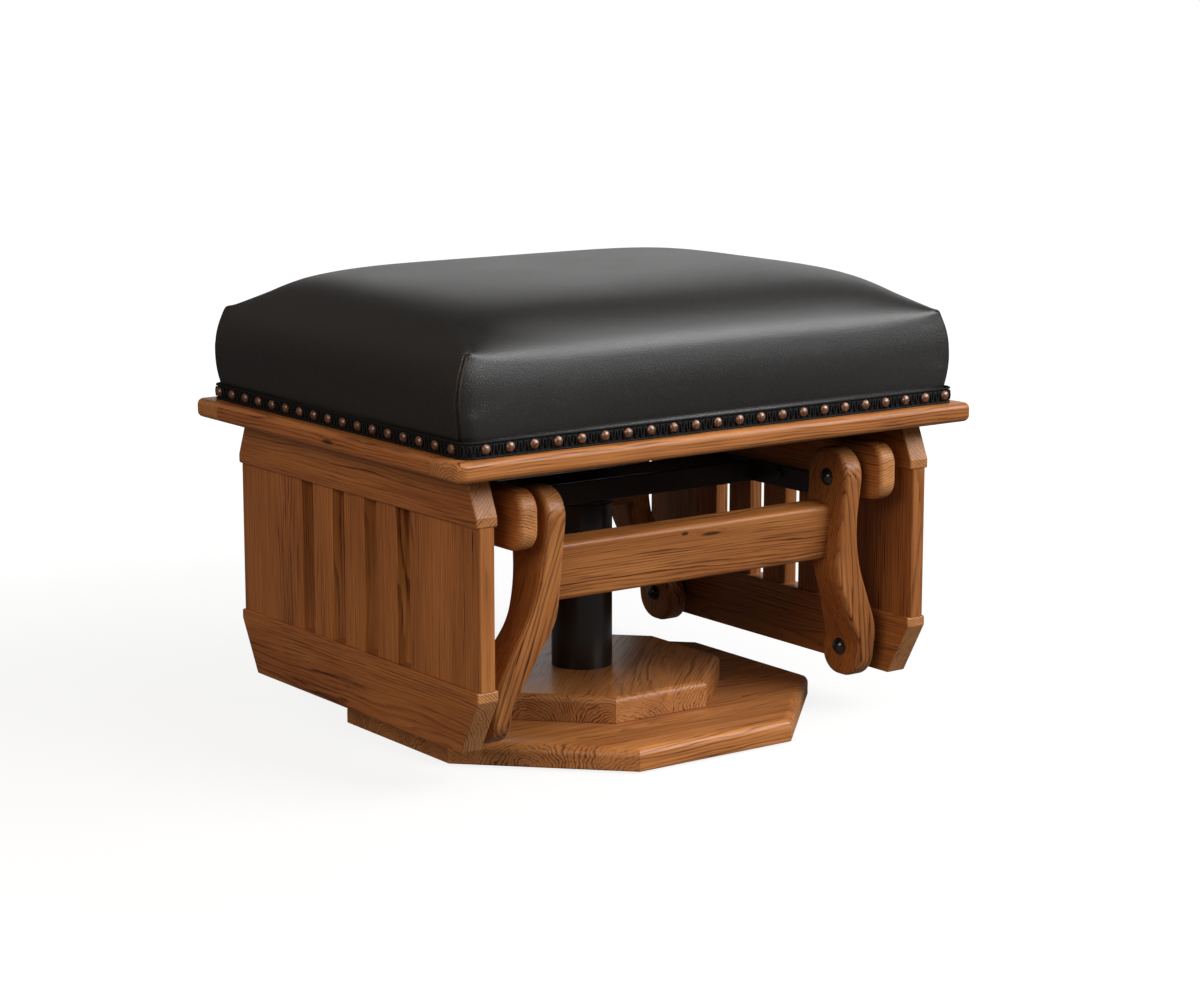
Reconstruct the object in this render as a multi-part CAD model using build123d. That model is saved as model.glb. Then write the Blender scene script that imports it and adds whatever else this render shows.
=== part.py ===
"""Glider ottoman: a leather-topped seat hung on four swing arms over a swivelling pedestal.

Frame: X to the right along the front, Y to the rear (the front faces -Y), Z up, millimetres.
The origin is on the floor, on the axis of the column. The ottoman is symmetric about X = 0.
"""
from build123d import *
from math import atan2, degrees, sqrt
import os

os.makedirs("parts", exist_ok=True)

# ---------------------------------------------------------------- driving dimensions
# Overall
SEAT_WIDTH = 610.0            # frame board, left to right
SEAT_DEPTH = 484.4            # frame board, front to rear
CUSHION_TOP = 459.0           # highest point of the crown

# Pedestal
GLIDE_PROUD = 2.0
GLIDE_R = 15.0
GLIDE_RING_R = 190.5
GLIDE_COUNT = 8
BASE_ACROSS = 445.0           # octagon, across the flats
BASE_THICK = 22.0
BASE_EDGE_R = 9.0
PLINTH_ACROSS = 269.0
PLINTH_THICK = 26.0
PLINTH_EDGE_R = 7.0
PLINTH_SCREW_RING_R = 95.0
COLUMN_R = 30.8
COLUMN_WALL = 3.0
COLUMN_TOP = 217.0
COLUMN_BOLT_R = 6.0
FOOT_DISC_TALL = 16.0
SPINDLE_BUSHES = ((104.0, 124.0), (190.0, COLUMN_TOP))

# Steel bracket on the swivel spindle
SPINDLE_R = 12.5
SPINDLE_FOOT = 92.0
BRACKET_Z = 221.0
BAR_TALL = 22.0
BAR_THICK = 6.0
BAR_EDGE_R = 1.2
BRACKET_HALF_DEPTH = 28.0
SIDE_BAR_HALF_LENGTH = 142.0  # clears the rear arms at the end of their swing
HUB_HALF_WIDTH = 60.0
HUB_THICK = 5.0
BRACKET_BOLT_R = 3.0
BRACKET_BOLT_Y = (-125.0, -70.0)

# Wooden hanger rails, fixed to the bracket
HANGER_X0 = 204.3
HANGER_X1 = 225.6
HANGER_HALF_LENGTH = 219.8
HANGER_Z0 = 226.2
HANGER_Z1 = 283.1
HANGER_END_R = 20.0
HANGER_EDGE_R = 5.5

# Swing arms and their pivots (front arms at -Y, rear arms mirrored and set a little wider at the top)
TOP_PIVOT = (182.6, 251.0)    # distance from the middle in Y, height
LOW_PIVOT = (156.5, 68.5)
ARM_TOP_X = {"front": (167.0, 190.0), "rear": (178.5, 202.5)}     # inner and outer face at the top
ARM_FOOT_X = {"front": (210.3, 232.0), "rear": (210.3, 234.5)}    # inner and outer face at the foot
ARM_EDGE_R = 5.0
CROSSBAR_TALL = 56.0
CROSSBAR_THICK = 28.0
CROSSBAR_CENTRE = (172.1, 197.1)
CROSSBAR_EDGE_R = 5.0
DOWEL_R = 5.0
DOWEL_LONG = 32.0
DOWEL_APART = 30.0

# Pivot hardware
PIVOT_R = 5.0
RUNNING_GAP = 0.05            # radial play of a bush on its bolt
BUSH_WALL = 2.5
OPEN_PLAY = 1.7               # radial play of the rear arms' lower bushes
OPEN_BUSH_WALL = 1.8
HEAD_R = 8.75
HEAD_TALL = 6.0
HEAD_RECESS = 1.5             # the arm's foot is faced off this deep for the head
SPACER_R = 11.0
INSERT_R = 8.0
INSERT_LONG = 15.0
FACE_GAP = 0.3                # between a turning face and its neighbour

# Side panels
RAIL_X0 = 247.0
RAIL_X1 = 270.5
STILE_X0 = 250.5
STILE_X1 = 267.0
RAIL_EDGE_R = 1.8
STILE_EDGE_R = 1.5
PANEL_HALF_LENGTH = 216.0
FOOT_HALF_LENGTH = 186.9      # bottom rail, along its underside
HEAD_HALF_LENGTH = 199.9      # top rail, along its top
FOOT_Z = 41.2
FOOT_RAIL_TOP = 103.2
FOOT_SHOULDER = 93.7          # where the bottom rail's ends start to slope
HEAD_RAIL_Z = 253.9
HEAD_SHOULDER = 263.2
STILE_INNER = 98.4            # inner edge of the wide stiles, from the middle
SLAT_WIDE = 36.4
SLAT_COUNT = 3
TENON_THICK = 8.0
TENON_LONG = 15.0
TENON_INSET = 8.0
PANEL_SCREW_X = 258.75        # down through the seat frame into the top rails
PANEL_SCREW_Y = (-150.0, -50.0, 50.0, 150.0)
SCREW_HEAD_R = 5.0
SCREW_R = 2.4
HEAD_SUNK = 0.5

# Seat frame board and deck
BOARD_Z = 301.1
BOARD_THICK = 18.8
BOARD_FRONT_RAIL = 48.0
BOARD_SIDE_RAIL = 70.0
BOARD_EDGE_R = 6.0
BOARD_CORNER_R = 9.0
DECK_THICK = 15.0
DECK_HALF = (280.0, 218.0)
DUST_COVER_THICK = 1.0
DUST_COVER_LAP = 7.0

# Cushion
COVER_THICK = 2.0
SEAM_HALF = (289.0, 227.4)    # drawn in where it meets the deck
SEAM_CORNER_R = 10.0
GIMP_TALL = 15.5
GIMP_THICK = 2.8
BULGE_HALF = (297.0, 235.5)
BULGE_Z = 377.0
RIM_HALF = (288.0, 227.0)
RIM_Z = 413.0
RIM_BOW = 6.0
RIM_CORNER_R = 28.0
CROWN_POWER = 4.0
NAIL_R = 4.3
NAIL_TALL = 3.0
NAIL_PIN_R = 0.8
NAIL_PIN_LONG = 2.2
NAILS_ACROSS = 22
NAILS_DEEP = 17
NAIL_SPAN = (277.4, 213.4)    # first and last nail, from the middle
NAIL_Z = 328.3

# ---------------------------------------------------------------- worked-out places
BASE_Z = GLIDE_PROUD
PLINTH_Z = BASE_Z + BASE_THICK
COLUMN_Z = PLINTH_Z + PLINTH_THICK
BOARD_TOP = BOARD_Z + BOARD_THICK
DECK_TOP = BOARD_TOP + DECK_THICK
GIMP_TOP = BOARD_TOP + GIMP_TALL
FOOT_FACE_X = ARM_FOOT_X["front"][0] - HEAD_RECESS


# ---------------------------------------------------------------- shared shapes
def block(x0, x1, y0, y1, z0, z1):
    """A box between two corners."""
    return Pos((x0 + x1) / 2, (y0 + y1) / 2, (z0 + z1) / 2) * Box(x1 - x0, y1 - y0, z1 - z0)


def upright(radius, z0, z1, x=0.0, y=0.0):
    """A round bar standing along Z."""
    return Pos(x, y, (z0 + z1) / 2) * Cylinder(radius, z1 - z0)


def tube(outer_r, inner_r, z0, z1):
    """A round tube standing on the axis of the column."""
    return upright(outer_r, z0, z1) - upright(inner_r, z0, z1)


def crosswise(radius, x0, x1, y, z):
    """A round bar lying along X."""
    return Pos((x0 + x1) / 2, y, z) * Rot(0, 90, 0) * Cylinder(radius, x1 - x0)


def side_plate(corners, radii, x0, x1):
    """A plate whose outline is drawn in the side view and whose faces are at x0 and x1."""
    outline = FilletPolyline(*corners, radius=radii, close=True)
    return extrude(Plane.YZ.offset(x0) * make_face(outline), amount=x1 - x0)


def front_plate(corners, radii, y0, y1):
    """A plate whose outline is drawn in the front view and whose faces are at y0 and y1."""
    outline = FilletPolyline(*corners, radius=radii, close=True)
    return extrude(Plane.XZ.offset(-y1) * make_face(outline), amount=y1 - y0)


def as_drawn(shape):
    return shape


def to_left(shape):
    return mirror(shape, about=Plane.YZ)


def to_rear(shape):
    return mirror(shape, about=Plane.XZ)


def face_edges(plate):
    """The edges round the two side faces of a plate."""
    rims = plate.edges().group_by(Axis.X)
    return rims[0] + rims[-1]


def both_sides(solids):
    return [*solids, *[to_left(solid) for solid in solids]]


def four_ways(solid):
    return both_sides([solid, to_rear(solid)])


ROWS = (("front", as_drawn), ("rear", to_rear))


def save(node, *solids):
    shape = solids[0] if len(solids) == 1 else Compound(list(solids))
    export_step(shape, f"parts/{node}.step")


# ---------------------------------------------------------------- pedestal
def octagon_board(across, z0, thickness, top_round, under_round):
    face = RegularPolygon(radius=across / 2, side_count=8, major_radius=False, rotation=22.5)
    board = extrude(Pos(0, 0, z0) * face, amount=thickness)
    board = fillet(board.edges().group_by(Axis.Z)[-1], top_round)
    return fillet(board.edges().group_by(Axis.Z)[0], under_round)


def countersunk_screw(x, y, head_z, tip_z, head_r, shank_r):
    """A wood screw along Z, its flat head at head_z."""
    up = 1 if tip_z > head_z else -1
    cone_end = head_z + up * (head_r - shank_r)
    cone = Cone(head_r, shank_r, head_r - shank_r)
    if up < 0:
        cone = Rot(180, 0, 0) * cone
    cone = Pos(x, y, (head_z + cone_end) / 2) * cone
    return cone + upright(shank_r, min(cone_end, tip_z), max(cone_end, tip_z), x, y)


def places_on_ring(radius, count, first_angle):
    return [(place.position.X, place.position.Y) for place in PolarLocations(radius, count, first_angle)]


def pedestal():
    glides = []
    for x, y in places_on_ring(GLIDE_RING_R, GLIDE_COUNT, 0):
        glides.append(upright(GLIDE_R, 0, GLIDE_PROUD + 3.0, x, y))

    head_z, tip_z = BASE_Z + HEAD_SUNK, COLUMN_Z - 6.0
    screws, head_holes = [], []
    for x, y in places_on_ring(PLINTH_SCREW_RING_R, 4, 45):
        screws.append(countersunk_screw(x, y, head_z, tip_z, SCREW_HEAD_R, SCREW_R))
        head_holes.append(upright(SCREW_HEAD_R, BASE_Z, head_z, x, y))

    washer_r, washer_z, bolt_seat = 16.0, BASE_Z + 9.5, BASE_Z + 12.0
    head_tall, head_corner_r = 8.0, 11.0
    bolt_head = extrude(Pos(0, 0, washer_z - head_tall) * RegularPolygon(head_corner_r, 6), head_tall)
    bolt = bolt_head + upright(COLUMN_BOLT_R, washer_z, COLUMN_Z + FOOT_DISC_TALL)
    washer = upright(washer_r, washer_z, bolt_seat) - upright(COLUMN_BOLT_R, washer_z, bolt_seat)

    base = octagon_board(BASE_ACROSS, BASE_Z, BASE_THICK, BASE_EDGE_R, 1.5)
    base -= upright(washer_r + 1.0, BASE_Z, bolt_seat) + upright(COLUMN_BOLT_R, bolt_seat, PLINTH_Z)
    base = base.cut(*glides, *screws, *head_holes)
    plinth = octagon_board(PLINTH_ACROSS, PLINTH_Z, PLINTH_THICK, PLINTH_EDGE_R, 0.8)
    plinth -= upright(COLUMN_BOLT_R, PLINTH_Z, COLUMN_Z)
    plinth = plinth.cut(*screws)

    bore_r, disc_top = COLUMN_R - COLUMN_WALL, COLUMN_Z + FOOT_DISC_TALL
    bushes = [tube(bore_r, SPINDLE_R + RUNNING_GAP, z0, z1) for z0, z1 in SPINDLE_BUSHES]

    save("base_plate", base)
    save("base_plinth", plinth)
    save("base_glides", *glides)
    save("plinth_screws", *screws)
    save("column_tube", tube(COLUMN_R, bore_r, COLUMN_Z, COLUMN_TOP))
    save("column_foot_disc", tube(bore_r, COLUMN_BOLT_R, COLUMN_Z, disc_top))
    save("column_bolt", bolt, washer)
    save("spindle_bushes", *bushes)
    save("thrust_washer", tube(COLUMN_R - 1.5, SPINDLE_R + 1.0, COLUMN_TOP, BRACKET_Z - FACE_GAP))


# ---------------------------------------------------------------- swivel spindle, bracket and hanger rails
def pivot_bolt(head_x, tip_x, pivot):
    """Domed bolt lying along X: the dome points to the middle of the ottoman."""
    y, z = -pivot[0], pivot[1]
    dome_r = (HEAD_R**2 + HEAD_TALL**2) / (2 * HEAD_TALL)
    ball = Pos(head_x - HEAD_TALL + dome_r, y, z) * Sphere(dome_r)
    dome = ball & crosswise(HEAD_R, head_x - HEAD_TALL, head_x, y, z)
    return dome + crosswise(PIVOT_R, head_x, tip_x, y, z)


def ring_x(outer_r, inner_r, x0, x1, pivot):
    y, z = -pivot[0], pivot[1]
    return crosswise(outer_r, x0, x1, y, z) - crosswise(inner_r, x0, x1, y, z)


def blind_insert(x0, pivot):
    return ring_x(INSERT_R, PIVOT_R, x0, x0 + INSERT_LONG, pivot)


def swivel_frame():
    save("swivel_spindle", upright(SPINDLE_R, SPINDLE_FOOT, BRACKET_Z + HUB_THICK))
    save("spindle_clip", tube(SPINDLE_R + 4.0, SPINDLE_R, SPINDLE_FOOT + 6.0, SPINDLE_FOOT + 8.0))

    side_x = HANGER_X0 - BAR_THICK
    bar_top = BRACKET_Z + BAR_TALL
    inner_y = BRACKET_HALF_DEPTH - BAR_THICK
    cross = block(-side_x, side_x, -BRACKET_HALF_DEPTH, -inner_y, BRACKET_Z, bar_top)
    cross = fillet(cross.edges().filter_by(Axis.X), BAR_EDGE_R)
    side = block(side_x, HANGER_X0, -SIDE_BAR_HALF_LENGTH, SIDE_BAR_HALF_LENGTH, BRACKET_Z, bar_top)
    side = fillet(side.edges().filter_by(Axis.Y), BAR_EDGE_R)
    hub = block(-HUB_HALF_WIDTH, HUB_HALF_WIDTH, -inner_y, inner_y, BRACKET_Z, BRACKET_Z + HUB_THICK)
    hub -= upright(SPINDLE_R, BRACKET_Z, bar_top)

    head_tall, bolt_z, bolt_tip = 4.0, BRACKET_Z + BAR_TALL / 2 + 3.0, HANGER_X0 + 14.0
    right_bolts = []
    for y in BRACKET_BOLT_Y:
        head = crosswise(2 * BRACKET_BOLT_R, side_x - head_tall, side_x, y, bolt_z)
        head = fillet(head.edges().sort_by(Axis.X)[0], head_tall / 2)
        bolt = head + crosswise(BRACKET_BOLT_R, side_x, bolt_tip, y, bolt_z)
        right_bolts += [bolt, to_rear(bolt)]
    side = side.cut(*right_bolts)

    hanger_corners = [
        (-HANGER_HALF_LENGTH, HANGER_Z0),
        (HANGER_HALF_LENGTH, HANGER_Z0),
        (HANGER_HALF_LENGTH, HANGER_Z1),
        (-HANGER_HALF_LENGTH, HANGER_Z1),
    ]
    hanger = side_plate(hanger_corners, HANGER_END_R, HANGER_X0, HANGER_X1)
    hanger = fillet(face_edges(hanger), HANGER_EDGE_R)
    insert_hole = crosswise(INSERT_R, HANGER_X0, HANGER_X0 + INSERT_LONG, -TOP_PIVOT[0], TOP_PIVOT[1])
    hanger = hanger.cut(insert_hole, to_rear(insert_hole), *right_bolts)

    save("bracket_front_bar", cross)
    save("bracket_rear_bar", to_rear(cross))
    save("bracket_right_bar", side)
    save("bracket_left_bar", to_left(side))
    save("bracket_hub_plate", hub)
    save("bracket_bolts", *both_sides(right_bolts))
    save("hanger_rail_right", hanger)
    save("hanger_rail_left", to_left(hanger))

    bolts, spacers = [], []
    for row, place in ROWS:
        inner_x, outer_x = ARM_TOP_X[row]
        bolts.append(place(pivot_bolt(inner_x - FACE_GAP, HANGER_X0 + INSERT_LONG, TOP_PIVOT)))
        spacers.append(place(ring_x(SPACER_R, PIVOT_R, outer_x + FACE_GAP, HANGER_X0, TOP_PIVOT)))
    save("upper_pivot_bolts", *both_sides(bolts))
    save("upper_pivot_spacers", *both_sides(spacers))
    save("upper_pivot_inserts", *four_ways(blind_insert(HANGER_X0, TOP_PIVOT)))


# ---------------------------------------------------------------- swing arms
def arm_blank(top_x, foot_x):
    """Right arm of the front row: the side outline crossed with the front outline."""
    top_x0, top_x1 = top_x
    foot_x0, foot_x1 = foot_x
    side_outline = [
        (-215.0, 280.0),
        (-153.5, 280.0),
        (-151.0, 221.0),
        (-160.5, 148.0),
        (-127.6, 65.5),
        (-127.6, 38.0),
        (-181.2, 38.0),
    ]
    side_radii = [27.0, 27.0, 150.0, 60.0, 12.0, 23.0, 27.0]
    front_outline = [
        (top_x0, 300.0),
        (top_x1, 300.0),
        (top_x1, 180.0),
        (foot_x1, 92.0),
        (foot_x1, 20.0),
        (foot_x0, 20.0),
        (foot_x0, 74.0),
        (top_x0, 154.0),
    ]
    front_radii = [0.1, 0.1, 170.0, 65.0, 0.1, 0.1, 25.0, 60.0]
    side = side_plate(side_outline, side_radii, top_x0 - 10, foot_x1 + 10)
    front = front_plate(front_outline, front_radii, -230.0, -110.0)
    arm = side & front
    return fillet(arm.edges(), ARM_EDGE_R)


def crossbar(half_long):
    """Cross bar between the front arms and the dowels of its right end, leaning as the arms do."""
    lean = degrees(atan2(TOP_PIVOT[0] - LOW_PIVOT[0], TOP_PIVOT[1] - LOW_PIVOT[1]))
    half_tall, half_thick = CROSSBAR_TALL / 2, CROSSBAR_THICK / 2
    bar = block(-half_long, half_long, -half_thick, half_thick, -half_tall, half_tall)
    bar = fillet(bar.edges().filter_by(Axis.X), CROSSBAR_EDGE_R)
    leaning = Pos(0, -CROSSBAR_CENTRE[0], CROSSBAR_CENTRE[1]) * Rot(lean, 0, 0)
    dowels = []
    for along in (-DOWEL_APART / 2, DOWEL_APART / 2):
        dowels.append(leaning * Pos(half_long, 0, along) * Rot(0, 90, 0) * Cylinder(DOWEL_R, DOWEL_LONG))
    return (leaning * bar).cut(*both_sides(dowels)), dowels


def swing_frames():
    upper_bore = PIVOT_R + RUNNING_GAP
    lower_bores = {
        "front": (PIVOT_R + RUNNING_GAP, BUSH_WALL),
        "rear": (PIVOT_R + OPEN_PLAY, OPEN_BUSH_WALL),
    }
    recess_r = HEAD_R + 2.2
    top_y, top_z = -TOP_PIVOT[0], TOP_PIVOT[1]
    low_y, low_z = -LOW_PIVOT[0], LOW_PIVOT[1]

    for row, place in ROWS:
        inner_x, outer_x = ARM_TOP_X[row]
        foot_x = ARM_FOOT_X[row][1]
        bar, dowels = crossbar(inner_x)
        upper_bush = ring_x(upper_bore + BUSH_WALL, upper_bore, inner_x, outer_x, TOP_PIVOT)
        upper_hole = crosswise(upper_bore + BUSH_WALL, inner_x - 1, outer_x + 1, top_y, top_z)
        recess = crosswise(recess_r, inner_x - 10, FOOT_FACE_X, low_y, low_z)
        lower_bore, wall = lower_bores[row]
        lower_bush = ring_x(lower_bore + wall, lower_bore, FOOT_FACE_X, foot_x, LOW_PIVOT)
        lower_hole = crosswise(lower_bore + wall, inner_x, foot_x + 1, low_y, low_z)
        blank = arm_blank(ARM_TOP_X[row], ARM_FOOT_X[row])
        arm = place(blank.cut(upper_hole, recess, lower_hole, *dowels))
        save(f"{row}_arm_right", arm)
        save(f"{row}_arm_left", to_left(arm))
        save(f"{row}_crossbar", place(bar))
        save(f"{row}_crossbar_dowels", *both_sides([place(dowel) for dowel in dowels]))
        save(f"{row}_upper_bushes", *both_sides([place(upper_bush)]))
        save(f"{row}_lower_bushes", *both_sides([place(lower_bush)]))


# ---------------------------------------------------------------- side panels
def tenoned_board(y0, y1):
    """An upright between the two rails, with a stub tenon on each end."""
    body = block(STILE_X0, STILE_X1, y0, y1, FOOT_RAIL_TOP, HEAD_RAIL_Z)
    body = fillet(body.edges().filter_by(Axis.Z), STILE_EDGE_R)
    middle_x = (STILE_X0 + STILE_X1) / 2
    tenon = block(
        middle_x - TENON_THICK / 2,
        middle_x + TENON_THICK / 2,
        y0 + TENON_INSET,
        y1 - TENON_INSET,
        FOOT_RAIL_TOP - TENON_LONG,
        HEAD_RAIL_Z + TENON_LONG,
    )
    return body + tenon, tenon


def side_panels():
    foot_corners = [
        (-FOOT_HALF_LENGTH, FOOT_Z),
        (FOOT_HALF_LENGTH, FOOT_Z),
        (PANEL_HALF_LENGTH, FOOT_SHOULDER),
        (PANEL_HALF_LENGTH, FOOT_RAIL_TOP),
        (-PANEL_HALF_LENGTH, FOOT_RAIL_TOP),
        (-PANEL_HALF_LENGTH, FOOT_SHOULDER),
    ]
    head_corners = [
        (-PANEL_HALF_LENGTH, HEAD_RAIL_Z),
        (PANEL_HALF_LENGTH, HEAD_RAIL_Z),
        (PANEL_HALF_LENGTH, HEAD_SHOULDER),
        (HEAD_HALF_LENGTH, BOARD_Z),
        (-HEAD_HALF_LENGTH, BOARD_Z),
        (-PANEL_HALF_LENGTH, HEAD_SHOULDER),
    ]
    foot_rail = side_plate(foot_corners, 2.0, RAIL_X0, RAIL_X1)
    foot_rail = fillet(face_edges(foot_rail), RAIL_EDGE_R)
    head_rail = side_plate(head_corners, [2.0, 2.0, 2.0, 0.5, 0.5, 2.0], RAIL_X0, RAIL_X1)
    under_board = face_edges(head_rail).filter_by(lambda edge: edge.center().Z < BOARD_Z - 1)
    head_rail = fillet(under_board, RAIL_EDGE_R)

    rear_stile, rear_tenon = tenoned_board(STILE_INNER, PANEL_HALF_LENGTH)
    front_stile, front_tenon = to_rear(rear_stile), to_rear(rear_tenon)
    gap = (2 * STILE_INNER - SLAT_COUNT * SLAT_WIDE) / (SLAT_COUNT + 1)
    slats, tenons = [], [rear_tenon, front_tenon]
    for number in range(SLAT_COUNT):
        y0 = -STILE_INNER + gap + number * (SLAT_WIDE + gap)
        slat, tenon = tenoned_board(y0, y0 + SLAT_WIDE)
        slats.append(slat)
        tenons.append(tenon)

    insert_hole = crosswise(INSERT_R, RAIL_X0, RAIL_X0 + INSERT_LONG, -LOW_PIVOT[0], LOW_PIVOT[1])
    foot_rail = foot_rail.cut(*tenons, insert_hole, to_rear(insert_hole))

    head_z, tip_z = BOARD_TOP - HEAD_SUNK, HEAD_RAIL_Z + 21.0
    screws = []
    for y in PANEL_SCREW_Y:
        screws.append(countersunk_screw(PANEL_SCREW_X, y, head_z, tip_z, SCREW_HEAD_R, SCREW_R))
    head_rail = head_rail.cut(*tenons, *screws)

    for side, place in (("right", as_drawn), ("left", to_left)):
        save(f"{side}_panel_bottom_rail", place(foot_rail))
        save(f"{side}_panel_top_rail", place(head_rail))
        save(f"{side}_panel_front_stile", place(front_stile))
        save(f"{side}_panel_rear_stile", place(rear_stile))
        save(f"{side}_panel_slats", *[place(slat) for slat in slats])

    bolt = pivot_bolt(FOOT_FACE_X - FACE_GAP, RAIL_X0 + INSERT_LONG, LOW_PIVOT)
    spacers = []
    for row, place in ROWS:
        spacers.append(place(ring_x(SPACER_R, PIVOT_R, ARM_FOOT_X[row][1] + FACE_GAP, RAIL_X0, LOW_PIVOT)))
    save("lower_pivot_bolts", *four_ways(bolt))
    save("lower_pivot_spacers", *both_sides(spacers))
    save("lower_pivot_inserts", *four_ways(blind_insert(RAIL_X0, LOW_PIVOT)))
    return both_sides(screws)


# ---------------------------------------------------------------- seat frame board, deck and dust cover
def seat_frame(panel_screws):
    half_w, half_d = SEAT_WIDTH / 2, SEAT_DEPTH / 2
    board = block(-half_w, half_w, -half_d, half_d, BOARD_Z, BOARD_TOP)
    board = fillet(board.edges().filter_by(Axis.Z), BOARD_CORNER_R)
    rims = board.edges().group_by(Axis.Z)
    board = fillet(rims[0] + rims[-1], BOARD_EDGE_R)
    open_x, open_y = half_w - BOARD_SIDE_RAIL, half_d - BOARD_FRONT_RAIL
    opening = block(-open_x, open_x, -open_y, open_y, BOARD_Z, BOARD_TOP)

    deck_x, deck_y = DECK_HALF
    deck = block(-deck_x, deck_x, -deck_y, deck_y, BOARD_TOP, DECK_TOP)
    head_z, tip_z = BOARD_Z + HEAD_SUNK, DECK_TOP - 3.0
    deck_screws, head_holes = [], []
    for x, y in ((open_x + 14.0, 95.0), (130.0, open_y + 14.0)):
        deck_screws += four_ways(countersunk_screw(x, y, head_z, tip_z, SCREW_HEAD_R, SCREW_R))
        head_holes += four_ways(upright(SCREW_HEAD_R, BOARD_Z, head_z, x, y))
    for y in PANEL_SCREW_Y:
        head_holes += both_sides([upright(SCREW_HEAD_R, BOARD_TOP - HEAD_SUNK, BOARD_TOP, PANEL_SCREW_X, y)])
    board = board.cut(opening, *panel_screws, *deck_screws, *head_holes)
    deck = deck.cut(*deck_screws)

    save("seat_frame_front_rail", board & block(-half_w, half_w, -half_d, -open_y, BOARD_Z, BOARD_TOP))
    save("seat_frame_rear_rail", board & block(-half_w, half_w, open_y, half_d, BOARD_Z, BOARD_TOP))
    save("seat_frame_right_rail", board & block(open_x, half_w, -open_y, open_y, BOARD_Z, BOARD_TOP))
    save("seat_frame_left_rail", board & block(-half_w, -open_x, -open_y, open_y, BOARD_Z, BOARD_TOP))
    save("seat_deck", deck)
    save("panel_screws", *panel_screws)
    save("deck_screws", *deck_screws)

    cloth_x, cloth_y = open_x + DUST_COVER_LAP, open_y + DUST_COVER_LAP
    save("dust_cover", block(-cloth_x, cloth_x, -cloth_y, cloth_y, BOARD_Z - DUST_COVER_THICK, BOARD_Z))


# ---------------------------------------------------------------- cushion, gimp and nails
def side_line(start, middle, end):
    """One side of the outline: straight, or bowed out through its middle."""
    bowed = abs(middle[0] - start[0]) > 1e-6 and abs(middle[1] - start[1]) > 1e-6
    return ThreePointArc(start, middle, end) if bowed else Line(start, end)


def cushion_ring(z, half_x, half_y, bow, corner):
    """Level outline: four sides, bowed outwards where bow is not 0, and four round corners."""
    cx, cy = half_x - bow, half_y - bow
    cut = corner * (1 - sqrt(0.5))
    lines = []
    for sx in (1, -1):
        lines.append(side_line((sx * cx, corner - cy), (sx * half_x, 0), (sx * cx, cy - corner)))
        lines.append(side_line((corner - cx, sx * cy), (0, sx * half_y), (cx - corner, sx * cy)))
        for sy in (1, -1):
            lines.append(
                ThreePointArc(
                    (sx * cx, sy * (cy - corner)),
                    (sx * (cx - cut), sy * (cy - cut)),
                    (sx * (cx - corner), sy * cy),
                )
            )
    return Pos(0, 0, z) * make_face(lines)


def crown_ring(height, inset):
    """Level outline of the crown at a fraction of its height, drawn in by the inset."""
    along = (1 - height) ** (1 / CROWN_POWER)
    across = (1 - sqrt(height)) ** (1 / CROWN_POWER)
    half_x, half_y = RIM_HALF[0] * along, RIM_HALF[1] * along
    bow = RIM_BOW * along
    corner = (half_y - bow - RIM_HALF[1] * across) / (1 - sqrt(0.5))
    corner = min(max(corner, RIM_CORNER_R), 0.9 * (half_y - bow))
    z = RIM_Z + height * (CUSHION_TOP - inset - RIM_Z)
    return cushion_ring(z, half_x - inset, half_y - inset, bow, corner - inset)


def cushion_form(inset):
    """Drawn in at the seam, fullest half way up, drawn in again under the crown."""
    seam = (SEAM_HALF[0] - inset, SEAM_HALF[1] - inset, 0.0, SEAM_CORNER_R - inset)
    bulge_x, bulge_y = BULGE_HALF[0] - inset, BULGE_HALF[1] - inset
    rings = [
        cushion_ring(GIMP_TOP, *seam),
        cushion_ring(GIMP_TOP + 14.0, bulge_x - 3.0, bulge_y - 3.1, 2.5, 17.0 - inset),
        cushion_ring(BULGE_Z, bulge_x, bulge_y, 5.0, 20.0 - inset),
        cushion_ring(BULGE_Z + 22.0, bulge_x - 2.0, bulge_y - 2.0, 5.5, 24.0 - inset),
    ]
    rings += [crown_ring(height, inset) for height in (0.0, 0.17, 0.36, 0.56, 0.75, 0.9, 1 - 1e-6)]
    return extrude(cushion_ring(BOARD_TOP, *seam), amount=GIMP_TALL) + loft(rings, ruled=True)


def nails(face_x, face_y):
    """Domed nails driven into the gimp, evenly spaced along each side."""
    dome_r = (NAIL_R**2 + NAIL_TALL**2) / (2 * NAIL_TALL)
    dome = Pos(0, 0, NAIL_TALL - dome_r) * Sphere(dome_r) & upright(NAIL_R, 0, NAIL_TALL)
    nail = Rot(90, 0, 0) * (dome + upright(NAIL_PIN_R, -NAIL_PIN_LONG, 0))
    driven = []
    for count, span, reach, turns in (
        (NAILS_ACROSS, NAIL_SPAN[0], face_y, (0, 180)),
        (NAILS_DEEP, NAIL_SPAN[1], face_x, (90, -90)),
    ):
        step = 2 * span / (count - 1)
        for turn in turns:
            for number in range(count):
                driven.append(Rot(0, 0, turn) * Pos(-span + number * step, -reach, NAIL_Z) * nail)
    return driven


def upholstery():
    foam = cushion_form(COVER_THICK)
    save("leather_cover", cushion_form(0.0) - foam)
    deck_x, deck_y = DECK_HALF
    save("foam_core", foam - block(-deck_x, deck_x, -deck_y, deck_y, BOARD_TOP, DECK_TOP))

    face_x, face_y = SEAM_HALF[0] + GIMP_THICK, SEAM_HALF[1] + GIMP_THICK
    outer = cushion_ring(BOARD_TOP, face_x, face_y, 0.0, SEAM_CORNER_R + GIMP_THICK)
    inner = cushion_ring(BOARD_TOP, *SEAM_HALF, 0.0, SEAM_CORNER_R)
    driven = nails(face_x, face_y)
    save("gimp_trim", extrude(outer - inner, amount=GIMP_TALL).cut(*driven))
    save("upholstery_nails", *driven)


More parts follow.
